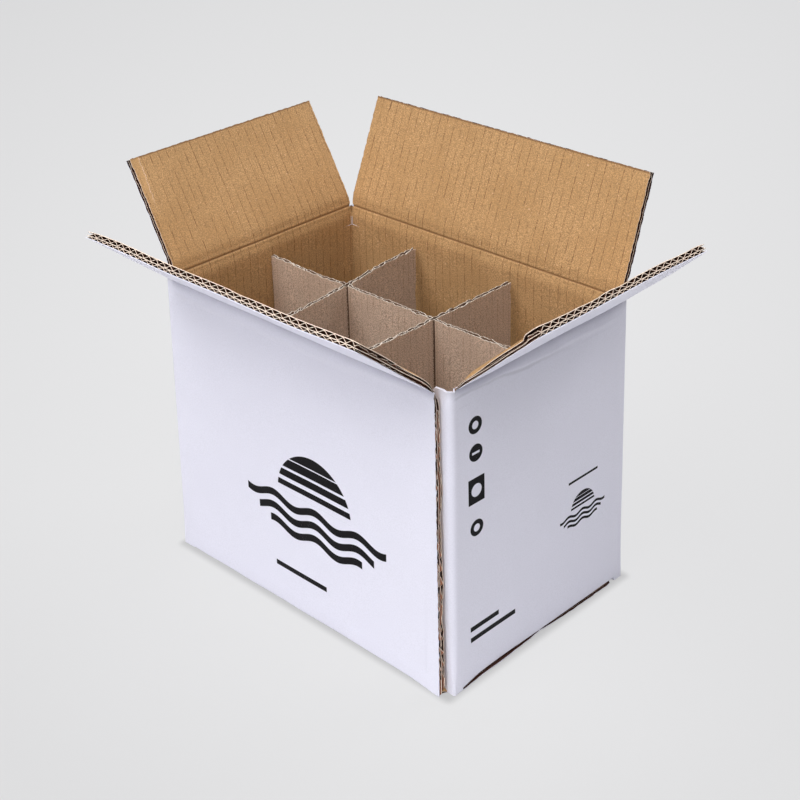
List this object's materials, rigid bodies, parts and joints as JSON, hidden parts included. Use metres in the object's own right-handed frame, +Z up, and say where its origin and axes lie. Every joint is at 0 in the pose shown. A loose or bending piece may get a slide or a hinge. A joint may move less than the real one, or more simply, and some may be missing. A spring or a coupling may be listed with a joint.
{
  "type": "bottle shipping box",
  "caption": "Slotted corrugated shipping box, white outside and brown inside, its top flaps standing open over a slot-together partition that divides it into upright cells.",
  "frame": {"origin": "middle of the base, on the surface the box stands on", "axes": "+X along the long walls, +Y from the long wall with the glued corner towards the other long wall, +Z up"},
  "size_m": [0.3928, 0.3013, 0.3315],
  "materials": {
    "case_board": "matt double-wall corrugated board, white liner outside, brown liner inside, raw cut edges",
    "divider_board": "matt single-wall corrugated board of grey-brown recycled paper, raw cut edges"
  },
  "bodies": {
    "case": {"case_body": "case_board", "divider_long": "divider_board", "divider_cross_left": "divider_board", "divider_cross_right": "divider_board"},
    "front_flap": {"flap_front": "case_board"},
    "back_flap": {"flap_back": "case_board"},
    "left_flap": {"flap_left": "case_board"},
    "right_flap": {"flap_right": "case_board"}
  },
  "joints": [
    {"name": "front_crease", "type": "hinge", "parent": "case", "child": "front_flap", "pos_m": [0, -0.0954, 0.24425], "axis": [1, 0, 0], "range_deg": [-142.9, 67.1]},
    {"name": "back_crease", "type": "hinge", "parent": "case", "child": "back_flap", "pos_m": [0, 0.0954, 0.24425], "axis": [-1, 0, 0], "range_deg": [-110.6, 99.4]},
    {"name": "left_crease", "type": "hinge", "parent": "case", "child": "left_flap", "pos_m": [-0.1394, 0, 0.23775], "axis": [0, -1, 0], "range_deg": [-117.4, 92.6]},
    {"name": "right_crease", "type": "hinge", "parent": "case", "child": "right_flap", "pos_m": [0.1394, 0, 0.23775], "axis": [0, 1, 0], "range_deg": [-136.5, 73.5]}
  ]
}
